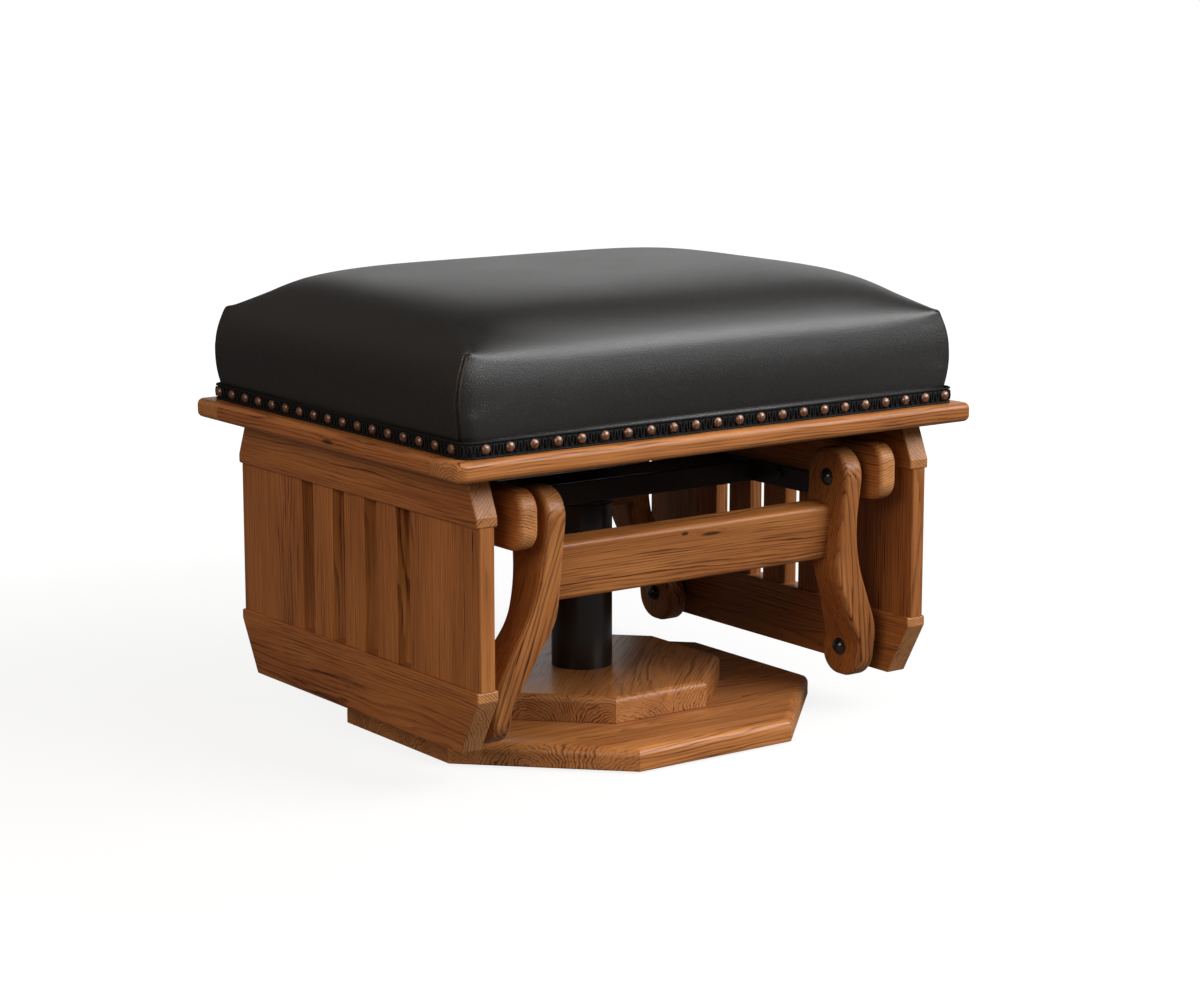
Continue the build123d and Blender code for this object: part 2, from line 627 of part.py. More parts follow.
pedestal()
swivel_frame()
swing_frames()
seat_frame(side_panels())
upholstery()
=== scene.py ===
"""Glider ottoman: stained oak, a black leather seat with a nailed gimp, and black steel ironwork.

Everything is in metres in the part's own frame: X to the right along the front, Y to the rear, Z up.
The sections follow the ottoman as it is put together, from the base to the nails round the seat.
"""
import math

import bmesh
import bpy
from mathutils import Matrix, Vector


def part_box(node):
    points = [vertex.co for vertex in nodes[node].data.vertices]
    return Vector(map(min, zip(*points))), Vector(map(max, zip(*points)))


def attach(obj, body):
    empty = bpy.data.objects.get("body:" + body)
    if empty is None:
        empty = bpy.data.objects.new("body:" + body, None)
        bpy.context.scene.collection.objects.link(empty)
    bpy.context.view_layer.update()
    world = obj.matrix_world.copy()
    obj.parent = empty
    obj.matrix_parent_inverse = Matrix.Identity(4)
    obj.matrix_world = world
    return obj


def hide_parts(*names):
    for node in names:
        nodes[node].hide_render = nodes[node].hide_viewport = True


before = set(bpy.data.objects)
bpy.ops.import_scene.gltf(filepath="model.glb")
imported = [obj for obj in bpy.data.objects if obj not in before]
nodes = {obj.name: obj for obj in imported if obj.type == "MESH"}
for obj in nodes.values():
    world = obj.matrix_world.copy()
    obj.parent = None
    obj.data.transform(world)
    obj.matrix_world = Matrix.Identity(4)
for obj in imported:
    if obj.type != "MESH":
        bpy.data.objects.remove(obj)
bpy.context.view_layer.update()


# ---------------------------------------------------------------- base board and plinth
# Two octagonal boards of solid oak, screwed together, with a rounded top edge and a satin lacquer over
# a brown stain. The lower one has its grain from side to side, the upper one along the diagonal.
OAK_LIGHT = (0.450, 0.186, 0.054, 1)
OAK_MIDDLE = (0.350, 0.126, 0.0335, 1)
OAK_RED = (0.300, 0.094, 0.0230, 1)
OAK_END_AND_SHEEN = (0.560, 0.270, 0.105, 1)
OAK_RING = (0.090, 0.0235, 0.0065, 1)
OAK_PORE = (0.050, 0.0135, 0.0045, 1)
OAK_KNOT = (0.020, 0.0085, 0.0050, 1)
STAVE_SHIFT = (3.0, 0.040, 0.030)  # how far apart in the tree two staves were, at most
QUICK_BEND = 0.40                  # share of the short waves in the wander of the rings
RAGGED_RING = 0.75                 # how far a ring's edge strays, in ring widths
KNOT_BEND = 0.011                  # how far a knot pushes the rings aside
GRAIN_DEPTH = 0.0003
ALONG_X = Vector((1, 0, 0))
ALONG_Y = Vector((0, 1, 0))
ALONG_Z = Vector((0, 0, 1))


def new_group(name, inputs, outputs):
    """An empty shader group with named sockets: returns the group, its input node and its output node."""
    group = bpy.data.node_groups.new(name, "ShaderNodeTree")
    for title, kind, value in inputs:
        socket = group.interface.new_socket(title, in_out="INPUT", socket_type=f"NodeSocket{kind}")
        if value is not None:
            socket.default_value = value
    for title, kind in outputs:
        group.interface.new_socket(title, in_out="OUTPUT", socket_type=f"NodeSocket{kind}")
    return group, group.nodes.new("NodeGroupInput"), group.nodes.new("NodeGroupOutput")


class Bench:
    """Adds nodes to one tree and joins them: an argument is either a value or another node's socket."""

    def __init__(self, tree):
        self.tree = tree

    def add(self, kind, inputs=None, **settings):
        node = self.tree.nodes.new(f"ShaderNode{kind}")
        for key, value in settings.items():
            setattr(node, key, value)
        for key, value in (inputs or {}).items():
            if isinstance(value, bpy.types.NodeSocket):
                self.tree.links.new(value, node.inputs[key])
            else:
                node.inputs[key].default_value = value
        return node

    def math(self, operation, a, b=0.0, clamp=False):
        return self.add("Math", {0: a, 1: b}, operation=operation, use_clamp=clamp).outputs[0]

    def vector(self, operation, a, b):
        return self.add("VectorMath", {0: a, 1: b}, operation=operation).outputs[0]

    def scaled(self, vector, factors):
        return self.vector("MULTIPLY", vector, factors)

    def sized(self, vector, factor):
        return self.add("VectorMath", {0: vector, "Scale": factor}, operation="SCALE").outputs[0]

    def length(self, vector):
        return self.add("VectorMath", {0: vector}, operation="LENGTH").outputs["Value"]

    def noise(self, vector, scale, detail=2.0, roughness=0.5):
        sockets = {"Vector": vector, "Scale": scale, "Detail": detail, "Roughness": roughness}
        return self.add("TexNoise", sockets)

    def step(self, value, low, high, to_low=0.0, to_high=1.0):
        sockets = {"Value": value, "From Min": low, "From Max": high, "To Min": to_low, "To Max": to_high}
        return self.add("MapRange", sockets, interpolation_type="SMOOTHSTEP").outputs[0]

    def mix(self, factor, a, b):
        return self.add("Mix", {0: factor, 6: a, 7: b}, data_type="RGBA").outputs[2]


def make_oak_grain():
    """Solid oak: rings round a pith line along X, pores in the early wood, fine fibres and slow patches."""
    inputs = [
        ("Vector", "Vector", None),
        ("Normal", "Vector", None),
        ("Ring Width", "Float", 0.0032),
        ("Wander", "Float", 0.012),
        ("Tone", "Float", 1.0),
        ("Figure", "Float", 1.0),
        ("Stave Width", "Float", 10.0),
        ("Knot", "Float", 0.0),
    ]
    outputs = [("Color", "Color"), ("Roughness", "Float"), ("Height", "Float")]
    group, given, result = new_group("oak_grain", inputs, outputs)
    bench = Bench(group)
    vector = given.outputs["Vector"]

    # Boards glued from staves: each stave beside the middle one comes from another part of the tree.
    sideways = bench.add("SeparateXYZ", {0: vector}).outputs[1]
    stave = bench.math("ROUND", bench.math("DIVIDE", sideways, given.outputs["Stave Width"]))
    beside = bench.math("MINIMUM", bench.math("ABSOLUTE", stave), 1.0)
    other = bench.add("TexWhiteNoise", {"W": stave}, noise_dimensions="1D").outputs["Color"]
    other = bench.vector("SUBTRACT", other, (0.5, 0.5, 0.5))
    other = bench.sized(bench.scaled(other, STAVE_SHIFT), beside)
    width = bench.math("MULTIPLY", stave, given.outputs["Stave Width"])
    back = bench.add("CombineXYZ", {1: width}).outputs[0]
    sawn = bench.vector("ADD", bench.vector("SUBTRACT", vector, back), other)

    def drawn(along, scale, detail=2.0, roughness=0.5):
        """Noise drawn out along the grain."""
        return bench.noise(bench.scaled(sawn, (along, 1, 1)), scale, detail, roughness).outputs

    slow = drawn(0.22, 10.0)["Color"]
    quick = drawn(0.10, 50.0)["Color"]
    bend = bench.vector("ADD", slow, bench.scaled(quick, (QUICK_BEND,) * 3))
    centred = bench.vector("SUBTRACT", bend, (0.5 * (1 + QUICK_BEND),) * 3)
    bent = bench.vector("ADD", sawn, bench.sized(centred, given.outputs["Wander"]))
    radius = bench.length(bench.scaled(bent, (0, 1, 1)))
    radius = bench.math("ADD", radius, bench.math("MULTIPLY", given.outputs["Knot"], KNOT_BEND))
    ragged = drawn(0.09, 210.0)["Fac"]
    ring = bench.math("DIVIDE", radius, given.outputs["Ring Width"])
    ring = bench.math("ADD", ring, bench.math("MULTIPLY", ragged, RAGGED_RING))
    through = bench.math("FRACT", ring)
    year = bench.math("FLOOR", ring)
    weight = bench.add("TexWhiteNoise", {"W": year}, noise_dimensions="1D").outputs["Value"]
    line = bench.math("MULTIPLY", bench.step(through, 0.40, 0.88), bench.step(through, 1.0, 0.94))
    line = bench.math("MULTIPLY", line, bench.step(weight, 0.1, 0.7, 0.45, 1.0))

    facing = bench.add("SeparateXYZ", {0: given.outputs["Normal"]}).outputs[0]
    end = bench.step(bench.math("ABSOLUTE", facing), 0.50, 0.85)
    fibre = drawn(0.014, 640.0, 3.0, 0.65)["Fac"]
    dash = bench.step(drawn(0.040, 430.0, 2.0, 0.6)["Fac"], 0.50, 0.68)
    patch = drawn(0.20, 22.0, 3.0)["Fac"]
    streak = bench.step(drawn(0.045, 95.0)["Fac"], 0.60, 0.76)
    fade = bench.step(drawn(0.10, 34.0)["Fac"], 0.36, 0.60, 0.50, 1.15)
    fade = bench.math("MULTIPLY", fade, given.outputs["Figure"])
    fade = bench.math("MAXIMUM", fade, bench.math("MULTIPLY", end, 0.80))

    colour = bench.mix(bench.step(fibre, 0.30, 0.70), OAK_MIDDLE, OAK_LIGHT)
    colour = bench.mix(bench.step(patch, 0.35, 0.70, 0.0, 0.5), colour, OAK_RED)
    # End faces are mixed towards a paler, yellower colour: partly the end grain's own colour, partly a
    # painted sheen
    colour = bench.mix(bench.math("MULTIPLY", end, 0.45), colour, OAK_END_AND_SHEEN)
    broken = bench.math("MAXIMUM", bench.step(dash, 0.0, 1.0, 0.52, 0.95), bench.math("MULTIPLY", end, 0.75))
    worn = bench.math("MULTIPLY", bench.math("MULTIPLY", line, broken), fade, clamp=True)
    colour = bench.mix(worn, colour, OAK_RING)
    colour = bench.mix(bench.math("MULTIPLY", bench.math("MULTIPLY", dash, fade), 0.22), colour, OAK_PORE)
    colour = bench.mix(bench.math("MULTIPLY", streak, 0.40), colour, OAK_RING)
    scar = bench.math("MULTIPLY", given.outputs["Knot"], bench.step(fibre, 0.25, 0.65, 1.6, 0.9))
    colour = bench.mix(bench.step(scar, 0.30, 0.95, 0.0, 0.9), colour, OAK_KNOT)
    shade = bench.step(patch, 0.25, 0.75, 1.10, 0.90)
    shade = bench.math("MULTIPLY", shade, given.outputs["Tone"])
    toned = bench.sized(colour, shade)

    rough = bench.math("ADD", bench.step(fibre, 0.3, 0.7, 0.36, 0.44), bench.math("MULTIPLY", dash, 0.06))
    rough = bench.math("ADD", rough, bench.math("MULTIPLY", end, 0.06))
    dip = bench.math("ADD", bench.math("MULTIPLY", dash, 0.45), bench.math("MULTIPLY", worn, 0.45))
    group.links.new(toned, result.inputs["Color"])
    group.links.new(rough, result.inputs["Roughness"])
    group.links.new(bench.math("SUBTRACT", 1.0, dip), result.inputs["Height"])
    return group


oak_grain = make_oak_grain()


def plain_material(name, **values):
    """A material whose Principled shader has these values; returns it with its bench and its shader."""
    material = bpy.data.materials.new(name)
    material.use_nodes = True
    shader = material.node_tree.nodes["Principled BSDF"]
    for title, value in values.items():
        shader.inputs[title.replace("_", " ").title().replace("Ior", "IOR")].default_value = value
    return material, Bench(material.node_tree), shader


def bumped(bench, shader, height, strength, distance):
    """Feeds a height to the shader's normal."""
    sockets = {"Height": height, "Strength": strength, "Distance": distance}
    bench.tree.links.new(bench.add("Bump", sockets).outputs[0], shader.inputs["Normal"])


def dress(node, material):
    """Gives a carried-over node one material."""
    mesh = nodes[node].data
    mesh.materials.clear()
    mesh.materials.append(material)


def middle_of(node):
    low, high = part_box(node)
    return (low + high) / 2


def knot_mask(bench, place, knots):
    """One at the heart of each knot, given by its middle and its reach, and fading to nothing round it."""
    masks = []
    for middle, reach in knots:
        off = bench.vector("SUBTRACT", place, middle)
        far = bench.length(bench.scaled(off, tuple(1 / part for part in reach)))
        masks.append(bench.step(far, 0.0, 1.0, 1.0, 0.0))
    total = masks[0]
    for mask in masks[1:]:
        total = bench.math("MAXIMUM", total, mask)
    return total


def oak(node, grain, pith, ring_width=0.0032, tone=1.0, wander=0.012, figure=1.0, stave=10.0, knots=()):
    """Stained oak for one board: grain is the way it was sawn, pith how far off the tree's heart was."""
    material, bench, shader = plain_material(
        f"oak_{node}", specular_ior_level=0.24, coat_weight=0.07, coat_roughness=0.2
    )
    coordinates = bench.add("TexCoord")
    turn = grain.rotation_difference(ALONG_X)
    heart = turn @ (middle_of(node) + Vector(pith))
    heart.x = 0.0
    rotation = turn.to_euler()
    placed = {"Vector": coordinates.outputs["Object"], "Rotation": rotation, "Location": -heart}
    turned = {"Vector": coordinates.outputs["Normal"], "Rotation": rotation}
    sockets = {
        "Vector": bench.add("Mapping", placed).outputs[0],
        "Normal": bench.add("Mapping", turned).outputs[0],
        "Ring Width": ring_width,
        "Wander": wander,
        "Tone": tone,
        "Figure": figure,
        "Stave Width": stave,
    }
    if knots:
        sockets["Knot"] = knot_mask(bench, coordinates.outputs["Object"], knots)
    wood = bench.add("Group", None, node_tree=oak_grain)
    for title, value in sockets.items():
        if isinstance(value, bpy.types.NodeSocket):
            bench.tree.links.new(value, wood.inputs[title])
        else:
            wood.inputs[title].default_value = value
    bench.tree.links.new(wood.outputs["Color"], shader.inputs["Base Color"])
    bench.tree.links.new(wood.outputs["Roughness"], shader.inputs["Roughness"])
    bumped(bench, shader, wood.outputs["Height"], 0.30, GRAIN_DEPTH)
    dress(node, material)


oak("base_plate", ALONG_X, (0, 0.016, -0.022), 0.0028, 1.08, 0.034, 1.3, stave=0.084)
DIAGONAL = (ALONG_X + ALONG_Y).normalized()
oak("base_plinth", DIAGONAL, (-0.022, 0.022, -0.024), 0.0029, 1.0, 0.034, 1.3, stave=0.090)


# ---------------------------------------------------------------- glides and screws under the base
# Black nylon glides pressed into the underside, and zinc-plated screws and bolt that hold the base,
# the plinth and the column together.
def moulded(name, colour):
    material, bench, shader = plain_material(name, roughness=0.55, specular_ior_level=0.4)
    place = bench.add("TexCoord").outputs["Object"]
    wear = bench.noise(place, 900.0, 3.0).outputs["Fac"]
    dark = tuple(0.7 * part for part in colour[:3]) + (1,)
    bench.tree.links.new(bench.mix(wear, dark, colour), shader.inputs["Base Color"])
    bumped(bench, shader, wear, 0.15, 0.0002)
    return material


def bright_metal(name, colour, rough):
    material, bench, shader = plain_material(name, metallic=1.0)
    place = bench.add("TexCoord").outputs["Object"]
    turning = bench.noise(bench.scaled(place, (1, 1, 12)), 300.0, 3.0).outputs["Fac"]
    dull = tuple(0.75 * part for part in colour[:3]) + (1,)
    bench.tree.links.new(bench.mix(turning, dull, colour), shader.inputs["Base Color"])
    worn = bench.step(turning, 0.2, 0.8, rough - 0.06, rough + 0.08)
    bench.tree.links.new(worn, shader.inputs["Roughness"])
    bumped(bench, shader, turning, 0.08, 0.0002)
    return material


black_nylon = moulded("black_nylon", (0.020, 0.020, 0.021, 1))
zinc = bright_metal("zinc_plated_steel", (0.58, 0.59, 0.61, 1), 0.34)
for name in ("base_glides", "spindle_bushes", "thrust_washer"):
    dress(name, black_nylon)
for name in ("plinth_screws", "column_bolt", "column_foot_disc"):
    dress(name, zinc)


# ---------------------------------------------------------------- column, bracket and spindle
# Round steel tube and flat-bar bracket, powder coated satin black, with the faint orange peel and the
# slow clouding of the coating. The spindle inside the tube is zinc plated.
def black_coat(name, rough, peel):
    material, bench, shader = plain_material(name, specular_ior_level=0.62)
    place = bench.add("TexCoord").outputs["Object"]
    cloud = bench.noise(place, 9.0, 2.0).outputs["Fac"]
    bench.tree.links.new(
        bench.mix(cloud, (0.0105, 0.0100, 0.0096, 1), (0.0150, 0.0142, 0.0136, 1)),
        shader.inputs["Base Color"],
    )
    bench.tree.links.new(bench.step(cloud, 0.3, 0.7, rough - 0.01, rough + 0.01), shader.inputs["Roughness"])
    bumped(bench, shader, bench.noise(place, 1400.0, 2.0).outputs["Fac"], peel, 0.0001)
    return material


column_black = black_coat("column_powder_coat", 0.24, 0.05)
bracket_black = black_coat("bracket_powder_coat", 0.42, 0.12)
bolt_black = black_coat("bolt_black_oxide", 0.20, 0.04)
dress("column_tube", column_black)
for side in ("front", "rear", "left", "right"):
    dress(f"bracket_{side}_bar", bracket_black)
dress("bracket_hub_plate", bracket_black)
dress("bracket_bolts", bracket_black)
dress("swivel_spindle", zinc)
dress("spindle_clip", zinc)


# ---------------------------------------------------------------- hanger rails
# Oak rails with rounded ends, bolted to the outside of the bracket's side bars. The four swing arms
# hang from them.
for side, lean in (("left", -1), ("right", 1)):
    oak(f"hanger_rail_{side}", ALONG_Y, (0.012 * lean, 0, -0.040), 0.0026, 1.06, 0.018)


# ---------------------------------------------------------------- swing arms, cross bars and pivots
# Curved oak arms sawn along their lean, joined in pairs by a dowelled cross bar. They turn on black
# domed bolts in nylon bushes.
TOP_PIVOT = Vector((0.1785, 0.1826, 0.251))
FOOT_PIVOT = Vector((0.2212, 0.1565, 0.0685))
for row, depth in (("front", -1), ("rear", 1)):
    for side, hand in (("left", -1), ("right", 1)):
        place = Vector((hand, depth, 1))
        grain = (TOP_PIVOT - FOOT_PIVOT) * place
        oak(f"{row}_arm_{side}", grain.normalized(), (0.03 * hand, 0.05, 0), 0.0027, 0.97, 0.020, 1.1)
    knot = ((-0.0145, 0.182 * depth, 0.2160), (0.009, 0.030, 0.0040))
    scar = ((0.0170, 0.182 * depth, 0.2125), (0.026, 0.030, 0.0042))
    oak(f"{row}_crossbar", ALONG_X, (0, 0.035, -0.060), 0.0025, 0.99, 0.022, 1.5, knots=(knot, scar))
    oak(f"{row}_crossbar_dowels", ALONG_X, (0, 0, -0.02))
    dress(f"{row}_upper_bushes", black_nylon)
    dress(f"{row}_lower_bushes", black_nylon)
brass = bright_metal("brass_insert", (0.62, 0.44, 0.18, 1), 0.38)
for level in ("upper", "lower"):
    dress(f"{level}_pivot_bolts", bolt_black)
    dress(f"{level}_pivot_spacers", black_nylon)
    dress(f"{level}_pivot_inserts", brass)


# ---------------------------------------------------------------- side panels
# Two frames of oak, each with a bottom and a top rail, two wide stiles and three slats between them.
# The seat board is screwed down on to their top rails.
for side, hand in (("left", -1), ("right", 1)):
    oak(f"{side}_panel_bottom_rail", ALONG_Y, (0.05 * hand, 0, -0.035), 0.0026, 0.98, 0.024, 1.1)
    oak(f"{side}_panel_top_rail", ALONG_Y, (0.045 * hand, 0, 0.045), 0.0028, 0.98, 0.024, 0.9)
    split = ((0.267 * hand, -0.2050, 0.2400), (0.010, 0.0018, 0.0200))
    pith = (0.03 * hand, 0.06, 0)
    oak(f"{side}_panel_front_stile", ALONG_Z, pith, 0.0026, 0.97, 0.022, 1.15, knots=(split,))
    oak(f"{side}_panel_rear_stile", ALONG_Z, (0.04 * hand, -0.05, 0), 0.0025, 0.97, 0.022, 1.15)
    oak(f"{side}_panel_slats", ALONG_Z, (0.04 * hand, 0.11, 0), 0.0026, 1.01, 0.022, 1.1)


# ---------------------------------------------------------------- seat frame board, deck and dust cover
# An oak frame with a rounded edge, butt jointed so that the ends of the long rails show at the sides.
# Over it lies a plywood deck, and under it a black dust cover of non-woven cloth is stapled.
knot = ((-0.3045, -0.0180, 0.3100), (0.020, 0.0200, 0.0050))
oak("seat_frame_front_rail", ALONG_X, (0, -0.010, -0.020), 0.0027, 1.00, 0.020, 1.2)
oak("seat_frame_rear_rail", ALONG_X, (0, 0.010, -0.020), 0.0027, 1.0, 0.020)
# The left rail's higher tone, 1.16 against 1.0 on the right, is painted light: it lightens the rail whose
# outer face lies in shade
oak("seat_frame_left_rail", ALONG_Y, (0.030, 0, -0.050), 0.0027, 1.16, 0.022, knots=(knot,))
oak("seat_frame_right_rail", ALONG_Y, (-0.030, 0, -0.045), 0.0027, 1.0, 0.022)


def plywood():
    material, bench, shader = plain_material("birch_plywood", roughness=0.6)
    place = bench.add("TexCoord").outputs["Object"]
    veneer = bench.noise(bench.scaled(place, (1, 30, 400)), 20.0, 3.0).outputs["Fac"]
    bench.tree.links.new(
        bench.mix(veneer, (0.42, 0.27, 0.13, 1), (0.62, 0.45, 0.26, 1)), shader.inputs["Base Color"]
    )
    bumped(bench, shader, veneer, 0.2, 0.0003)
    return material


def woven_cloth(name, dark, pale, thread, rough):
    """Cloth of crossing threads this far apart."""
    material, bench, shader = plain_material(name, roughness=rough, specular_ior_level=0.25)
    place = bench.add("TexCoord").outputs["Object"]
    parts = bench.add("SeparateXYZ", {0: place}).outputs
    waves = [bench.math("SINE", bench.math("MULTIPLY", part, 2 * math.pi / thread)) for part in parts]
    weave = bench.math("ADD", bench.math("MULTIPLY", waves[0], waves[1]), waves[2])
    fluff = bench.noise(place, 1600.0, 3.0).outputs["Fac"]
    height = bench.math("ADD", bench.math("MULTIPLY", weave, 0.3), fluff)
    bench.tree.links.new(bench.mix(fluff, dark, pale), shader.inputs["Base Color"])
    bumped(bench, shader, height, 0.5, 0.0004)
    return material


dress("seat_deck", plywood())
dress("panel_screws", zinc)
dress("deck_screws", zinc)

dust_cloth = woven_cloth("dust_cloth", (0.008, 0.008, 0.008, 1), (0.018, 0.018, 0.018, 1), 0.0016, 0.9)
dress("dust_cover", dust_cloth)
CLOTH_LOW, CLOTH_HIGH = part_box("dust_cover")
CLOTH_SAG = 0.007
CLOTH_THICK = 0.0006
CLOTH_BELOW = 0.0009    # below the upper face of the plain cover
STAPLE_PUCKER = 0.0008
cloth = bmesh.new()
bmesh.ops.create_grid(cloth, x_segments=36, y_segments=30, size=1.0)
half_cloth = (CLOTH_HIGH - CLOTH_LOW) / 2
for vertex in cloth.verts:
    across, deep = vertex.co.x, vertex.co.y
    slack = ((1 - across ** 2) * (1 - deep ** 2)) ** 0.8
    staples = STAPLE_PUCKER * math.sin(18 * across) * math.sin(15 * deep + 2 * across) * slack ** 0.5
    level = CLOTH_HIGH.z - CLOTH_SAG * slack + staples - CLOTH_BELOW
    vertex.co = (across * half_cloth.x, deep * half_cloth.y, level)
bmesh.ops.solidify(cloth, geom=cloth.faces[:], thickness=CLOTH_THICK)
bmesh.ops.recalc_face_normals(cloth, faces=cloth.faces[:])
cloth_mesh = bpy.data.meshes.new("dust_sheet")
cloth.to_mesh(cloth_mesh)
cloth.free()
for polygon in cloth_mesh.polygons:
    polygon.use_smooth = True
cloth_mesh.materials.append(dust_cloth)
dust_sheet = bpy.data.objects.new("dust_sheet", cloth_mesh)
bpy.context.scene.collection.objects.link(dust_sheet)
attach(dust_sheet, "seat")
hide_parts("dust_cover")


# ---------------------------------------------------------------- cushion
# Black leather drawn over a foam block: full half way up its sides and crowned on top. At each corner
# the spare leather is folded under and closed by a seam that bends forward at the top edge.
BOARD_TOP = 0.3199
GIMP_TOP = 0.3354
BULGE_Z = 0.3765
RIM_Z = 0.4112
CROWN = 0.0484
RIM_LIFT = 0.004
FOOT_Z = 0.3260
FOOT_HALF = Vector((0.2865, 0.2249))
BULGE_HALF = Vector((0.2950, 0.2315))
RIM_HALF = Vector((0.2880, 0.2265))
CROWN_ACROSS = 5.6      # the higher these are, the flatter the top and the steeper its edges
CROWN_DEEP = 4.4
CROWN_FALL = 0.70
SIDE_BOW = 0.0035
CORNER_AT_FOOT = 0.011
CORNER_GAIN = 0.008     # how much rounder the corners are at the rim
SEAM_TURN_FOOT = math.radians(10)
SEAM_TURN_RIM = math.radians(44)
SEAM_TURN_RIGHT = math.radians(22)
SEAM_HOOK = 0.93
RIM_ROUNDS = 44
SWELL_FRAMES = 16
SWELL_REACH = 0.0025
SEAM_HALF_WIDTH = 0.0022
SEAM_DEPTH = 0.0034
LEATHER_CUTS = 45
CROWDING = 1.25


def smooth_between(value, low, high):
    t = min(max((value - low) / (high - low), 0.0), 1.0)
    return t * t * (3 - 2 * t)


def wall_shape(z, right_side):
    """Half sizes, corner radius and turn of the corner seams on the cushion's sides at a height."""
    if z < BULGE_Z:
        rise = max(0.0, (z - FOOT_Z) / (BULGE_Z - FOOT_Z))
        half = FOOT_HALF.lerp(BULGE_HALF, math.sin(0.5 * math.pi * rise))
    else:
        half = BULGE_HALF.lerp(RIM_HALF, ((z - BULGE_Z) / (RIM_Z - BULGE_Z)) ** 2)
    turn = SEAM_TURN_FOOT + (SEAM_TURN_RIM - SEAM_TURN_FOOT) * max(0.0, (z - FOOT_Z) / (RIM_Z - FOOT_Z))
    if right_side:
        turn += SEAM_TURN_RIGHT * smooth_between(z, FOOT_Z, BULGE_Z)
    return half, CORNER_AT_FOOT + CORNER_GAIN * smooth_between(z, FOOT_Z, RIM_Z), turn


def wall_point(u, v, half, corner, seam):
    """A point of the outline: u and v run from -1 to 1, and one of them is at the end of its range."""
    flat_x, flat_y = half.x - corner, half.y - corner
    if abs(v) >= abs(u):
        along = abs(u) * (flat_x + corner * (math.pi / 2 - seam))
        turn = max(0.0, along - flat_x) / corner
        x, y = min(along, flat_x) + corner * math.sin(turn), flat_y + corner * math.cos(turn)
    else:
        along = abs(v) * (flat_y + corner * seam)
        turn = max(0.0, along - flat_y) / corner
        x, y = flat_x + corner * math.cos(turn), min(along, flat_y) + corner * math.sin(turn)
    return Vector((math.copysign(x, u), math.copysign(y, v)))


def cushion_point(cube):
    """Where a point of a cube from -1 to 1 lies on the cushion."""
    u, v = (math.sin(part * CROWDING) / math.sin(CROWDING) for part in cube[:2])
    reach = max(abs(u), abs(v), 1e-6)
    level = BOARD_TOP + (RIM_Z - BOARD_TOP) * (cube.z + 1) / 2
    half, corner, seam = wall_shape(level, u > 0)
    place = wall_point(u / reach, v / reach, half, corner, seam) * min(reach, 1.0)
    bow = SIDE_BOW * smooth_between(level, FOOT_Z, BULGE_Z) * reach ** 6
    across, deep = place.x / half.x, place.y / half.y
    rise = RIM_LIFT * max(0.0, (level - BULGE_Z) / (RIM_Z - BULGE_Z)) ** 2 * reach ** 8
    if abs(v) >= abs(u):
        place.y -= math.copysign(bow * across ** 2, place.y)
        rise *= 1 - across ** 2
    else:
        place.x -= math.copysign(bow * deep ** 2, place.x)
        rise *= 1 - deep ** 2
    if cube.z > 0.999:
        domed = max(0.0, 1 - abs(across) ** CROWN_ACROSS) * max(0.0, 1 - abs(deep) ** CROWN_DEEP)
        rise += CROWN * domed ** CROWN_FALL
    return Vector((place.x, place.y, level + rise))


def leather():
    material, bench, shader = plain_material("black_leather", roughness=0.42, specular_ior_level=0.62)
    place = bench.add("TexCoord").outputs["Object"]
    warp = bench.scaled(bench.noise(place, 260.0, 2.0).outputs["Color"], (0.0012, 0.0012, 0.0012))
    warped = bench.vector("ADD", place, warp)
    cells = bench.add("TexVoronoi", {"Vector": warped, "Scale": 600.0}, feature="DISTANCE_TO_EDGE")
    pebble = bench.step(cells.outputs["Distance"], 0.0, 0.28)
    fine = bench.noise(place, 2600.0, 2.0).outputs["Fac"]
    handled = bench.noise(place, 7.0, 3.0).outputs["Fac"]
    height = bench.math("ADD", bench.math("MULTIPLY", pebble, 0.7), bench.math("MULTIPLY", fine, 0.3))
    # The creases between the pebbles get the darker colour: painted shade
    colour = bench.mix(pebble, (0.0056, 0.0051, 0.0048, 1), (0.0108, 0.0098, 0.0092, 1))
    rough = bench.step(handled, 0.3, 0.7, 0.41, 0.45)
    rough = bench.math("SUBTRACT", rough, bench.math("MULTIPLY", pebble, 0.03))
    bench.tree.links.new(colour, shader.inputs["Base Color"])
    bench.tree.links.new(rough, shader.inputs["Roughness"])
    bumped(bench, shader, height, 0.42, 0.0003)
    return material


def finish_mesh(name, bm, material, body):
    """Makes a smooth object of a bmesh, in its place in the part's frame, and hangs it on its body."""
    mesh = bpy.data.meshes.new(name)
    bm.to_mesh(mesh)
    bm.free()
    for polygon in mesh.polygons:
        polygon.use_smooth = True
    mesh.materials.append(material)
    piece = bpy.data.objects.new(name, mesh)
    bpy.context.scene.collection.objects.link(piece)
    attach(piece, body)
    return piece


